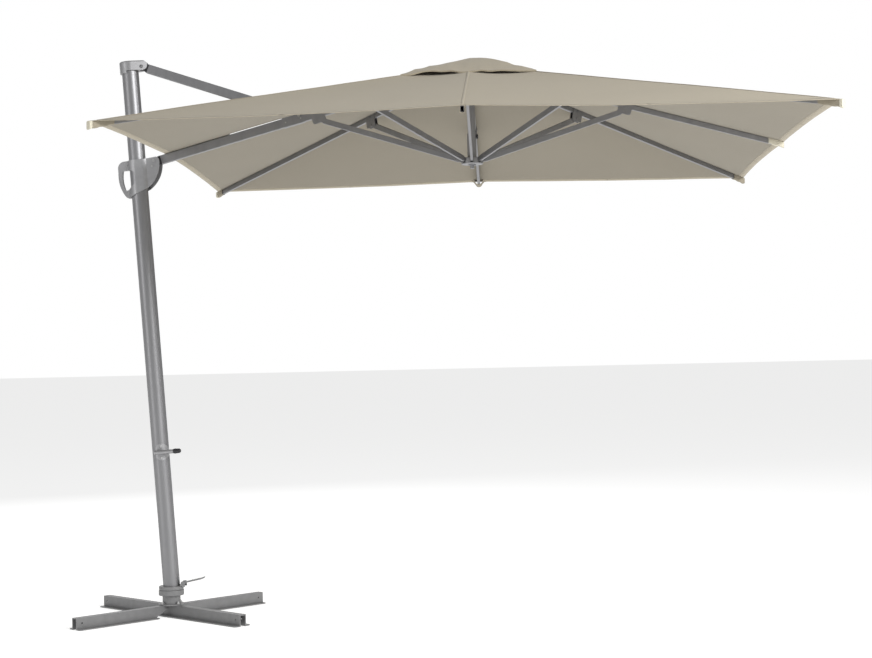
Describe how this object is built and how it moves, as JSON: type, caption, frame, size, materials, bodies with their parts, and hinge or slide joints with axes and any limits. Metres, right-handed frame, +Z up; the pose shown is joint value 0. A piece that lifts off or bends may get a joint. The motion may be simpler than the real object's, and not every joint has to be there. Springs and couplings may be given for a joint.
{
  "type": "cantilever parasol",
  "caption": "Square cantilever parasol with vented canopy, sliding mast carriage, folding ribs and stretchers, swivel foot with pedal and cross base.",
  "frame": {"origin": "centre of the base cross on the floor, on the swivel axis", "axes": "+X from the mast towards the middle of the canopy, +Y away from the side with the turning handle, +Z up"},
  "size_m": [3.447, 3.0024, 2.711],
  "materials": {
    "frame_aluminium": "satin",
    "cast_aluminium": "satin",
    "base_steel": "satin",
    "fastener_steel": "satin",
    "black_plastic": "matte",
    "canopy_fabric": "matte"
  },
  "bodies": {
    "base": {"base_long_bar": "base_steel", "base_leg_back_right": "base_steel", "base_leg_front_left": "base_steel", "base_foot_plate": "base_steel", "base_bolts": "fastener_steel", "base_tube": "base_steel", "base_lower_ring": "base_steel", "base_swivel_bush": "black_plastic"},
    "mast": {"mast_tube": "frame_aluminium", "mast_rail_strip": "black_plastic", "mast_swivel_foot": "base_steel", "mast_head": "cast_aluminium", "mast_head_pin": "fastener_steel", "pedal_bracket": "base_steel", "turning_handle_plate": "cast_aluminium", "turning_handle_bar": "cast_aluminium", "turning_handle_knob": "black_plastic", "turning_handle_screws": "fastener_steel"},
    "pedal": {"pedal_lever": "base_steel"},
    "tie_arm": {"tie_arm_tube": "frame_aluminium", "tie_arm_head_plug": "black_plastic", "tie_arm_fork": "frame_aluminium", "tie_arm_pin": "fastener_steel"},
    "arm": {"arm_tube": "frame_aluminium", "arm_end_block": "black_plastic", "arm_sleeve": "frame_aluminium", "arm_sleeve_rivets": "fastener_steel", "arm_crown_tongue": "black_plastic", "arm_stretcher_clamp": "frame_aluminium"},
    "carriage": {"carriage_shell_near": "cast_aluminium", "carriage_shell_far": "cast_aluminium", "carriage_screws": "fastener_steel", "carriage_spacers": "black_plastic", "carriage_pin": "fastener_steel"},
    "crown": {"crown_hub": "frame_aluminium", "crown_pins": "fastener_steel", "crown_cap": "black_plastic", "centre_pole": "frame_aluminium", "pole_tip": "frame_aluminium", "canopy": "canopy_fabric", "vent_cap": "canopy_fabric"},
    "lower_hub": {"lower_hub": "frame_aluminium", "lower_hub_pins": "fastener_steel"},
    "latch": {"latch_knob": "black_plastic"},
    "stretcher_left": {"stretcher_left": "frame_aluminium"},
    "rib_right": {"rib_right": "frame_aluminium"},
    "stretcher_right": {"stretcher_right": "frame_aluminium"},
    "rib_back_right": {"rib_back_right": "frame_aluminium"},
    "stretcher_back_right": {"stretcher_back_right": "frame_aluminium"},
    "rib_back": {"rib_back": "frame_aluminium"},
    "stretcher_back": {"stretcher_back": "frame_aluminium"},
    "rib_back_left": {"rib_back_left": "frame_aluminium"},
    "stretcher_back_left": {"stretcher_back_left": "frame_aluminium"},
    "rib_front_left": {"rib_front_left": "frame_aluminium"},
    "stretcher_front_left": {"stretcher_front_left": "frame_aluminium"},
    "rib_front": {"rib_front": "frame_aluminium"},
    "stretcher_front": {"stretcher_front": "frame_aluminium"},
    "rib_front_right": {"rib_front_right": "frame_aluminium"},
    "stretcher_front_right": {"stretcher_front_right": "frame_aluminium"}
  },
  "joints": [
    {"name": "mast_swivel", "type": "hinge", "parent": "base", "child": "mast", "pos_m": [0, 0, 0.102], "axis": [0, 0, 1], "continuous": true},
    {"name": "foot_pedal", "type": "hinge", "parent": "mast", "child": "pedal", "pos_m": [0.062, 0, 0.161], "axis": [0, 1, 0], "range_deg": [0, 14], "stiffness_Nm_per_rad": 3, "springref_deg": -14.32},
    {"name": "tie_arm_fold", "type": "hinge", "parent": "mast", "child": "tie_arm", "pos_m": [-0.09249, 0, 2.67973], "axis": [0, 1, 0], "range_deg": [0, 53.7], "deforming": ["canopy", "vent_cap"]},
    {"name": "arm_swing", "type": "hinge", "parent": "tie_arm", "child": "arm", "pos_m": [0.67284, 0, 2.4201], "axis": [0, 1, 0], "range_deg": [-120.28, 0]},
    {"name": "carriage_level", "type": "hinge", "parent": "arm", "child": "carriage", "pos_m": [-0.03991, 0, 2.21709], "axis": [0, 1, 0], "range_deg": [0, 65.51]},
    {"name": "crown_level", "type": "hinge", "parent": "arm", "child": "crown", "pos_m": [1.471, 0, 2.618], "axis": [0, 1, 0], "range_deg": [0, 65.51]},
    {"name": "rib_right_fold", "type": "hinge", "parent": "crown", "child": "rib_right", "pos_m": [1.551, 0, 2.618], "axis": [0, 1, 0], "range_deg": [0, 65.51]},
    {"name": "stretcher_right_fold", "type": "hinge", "parent": "rib_right", "child": "stretcher_right", "pos_m": [2.251, 0, 2.39752], "axis": [0, 1, 0], "range_deg": [-131.01, 0]},
    {"name": "rib_back_right_fold", "type": "hinge", "parent": "crown", "child": "rib_back_right", "pos_m": [1.53928, 0.02828, 2.618], "axis": [-0.7071, 0.7071, 0], "range_deg": [0, 67.45]},
    {"name": "stretcher_back_right_fold", "type": "hinge", "parent": "rib_back_right", "child": "stretcher_back_right", "pos_m": [2.03497, 0.52397, 2.43698], "axis": [-0.7071, 0.7071, 0], "range_deg": [-129.17, 0]},
    {"name": "rib_back_fold", "type": "hinge", "parent": "crown", "child": "rib_back", "pos_m": [1.511, 0.04, 2.618], "axis": [-1, 0, 0], "range_deg": [0, 65.51]},
    {"name": "stretcher_back_fold", "type": "hinge", "parent": "rib_back", "child": "stretcher_back", "pos_m": [1.511, 0.74, 2.39752], "axis": [-1, 0, 0], "range_deg": [-131.01, 0]},
    {"name": "rib_back_left_fold", "type": "hinge", "parent": "crown", "child": "rib_back_left", "pos_m": [1.48272, 0.02828, 2.618], "axis": [-0.7071, -0.7071, 0], "range_deg": [0, 67.45]},
    {"name": "stretcher_back_left_fold", "type": "hinge", "parent": "rib_back_left", "child": "stretcher_back_left", "pos_m": [0.98703, 0.52397, 2.43698], "axis": [-0.7071, -0.7071, 0], "range_deg": [-129.17, 0]},
    {"name": "rib_front_left_fold", "type": "hinge", "parent": "crown", "child": "rib_front_left", "pos_m": [1.48272, -0.02828, 2.618], "axis": [0.7071, -0.7071, 0], "range_deg": [0, 67.45]},
    {"name": "stretcher_front_left_fold", "type": "hinge", "parent": "rib_front_left", "child": "stretcher_front_left", "pos_m": [0.98703, -0.52397, 2.43698], "axis": [0.7071, -0.7071, 0], "range_deg": [-129.17, 0]},
    {"name": "rib_front_fold", "type": "hinge", "parent": "crown", "child": "rib_front", "pos_m": [1.511, -0.04, 2.618], "axis": [1, 0, 0], "range_deg": [0, 65.51]},
    {"name": "stretcher_front_fold", "type": "hinge", "parent": "rib_front", "child": "stretcher_front", "pos_m": [1.511, -0.74, 2.39752], "axis": [1, 0, 0], "range_deg": [-131.01, 0]},
    {"name": "rib_front_right_fold", "type": "hinge", "parent": "crown", "child": "rib_front_right", "pos_m": [1.53928, -0.02828, 2.618], "axis": [0.7071, 0.7071, 0], "range_deg": [0, 67.45]},
    {"name": "stretcher_front_right_fold", "type": "hinge", "parent": "rib_front_right", "child": "stretcher_front_right", "pos_m": [2.03497, -0.52397, 2.43698], "axis": [0.7071, 0.7071, 0], "range_deg": [-129.17, 0]},
    {"name": "stretcher_left_fold", "type": "hinge", "parent": "arm", "child": "stretcher_left", "pos_m": [0.771, 0, 2.39752], "axis": [0, -1, 0], "range_deg": [-131.01, 0]},
    {"name": "lower_hub_level", "type": "hinge", "parent": "stretcher_right", "child": "lower_hub", "pos_m": [1.551, 0, 2.17703], "axis": [0, 1, 0], "range_deg": [0, 65.51]},
    {"name": "latch_knob_pull", "type": "slide", "parent": "lower_hub", "child": "latch", "axis": [1, 0, 0], "range_m": [0, 0.006], "stiffness_N_per_m": 600, "springref_m": -0.003}
  ],
  "couplings": [
    {"joint": "arm_swing", "follows": "tie_arm_fold", "ratio": -2.1958},
    {"joint": "carriage_level", "follows": "tie_arm_fold", "ratio": 1.1958},
    {"joint": "crown_level", "follows": "tie_arm_fold", "ratio": 1.1958},
    {"joint": "rib_right_fold", "follows": "tie_arm_fold", "ratio": 1.1958},
    {"joint": "stretcher_right_fold", "follows": "tie_arm_fold", "ratio": -2.3916},
    {"joint": "rib_back_right_fold", "follows": "tie_arm_fold", "ratio": 1.2312},
    {"joint": "stretcher_back_right_fold", "follows": "tie_arm_fold", "ratio": -2.358},
    {"joint": "rib_back_fold", "follows": "tie_arm_fold", "ratio": 1.1958},
    {"joint": "stretcher_back_fold", "follows": "tie_arm_fold", "ratio": -2.3916},
    {"joint": "rib_back_left_fold", "follows": "tie_arm_fold", "ratio": 1.2312},
    {"joint": "stretcher_back_left_fold", "follows": "tie_arm_fold", "ratio": -2.358},
    {"joint": "rib_front_left_fold", "follows": "tie_arm_fold", "ratio": 1.2312},
    {"joint": "stretcher_front_left_fold", "follows": "tie_arm_fold", "ratio": -2.358},
    {"joint": "rib_front_fold", "follows": "tie_arm_fold", "ratio": 1.1958},
    {"joint": "stretcher_front_fold", "follows": "tie_arm_fold", "ratio": -2.3916},
    {"joint": "rib_front_right_fold", "follows": "tie_arm_fold", "ratio": 1.2312},
    {"joint": "stretcher_front_right_fold", "follows": "tie_arm_fold", "ratio": -2.358},
    {"joint": "stretcher_left_fold", "follows": "tie_arm_fold", "ratio": -2.3916},
    {"joint": "lower_hub_level", "follows": "tie_arm_fold", "ratio": 1.1958}
  ]
}
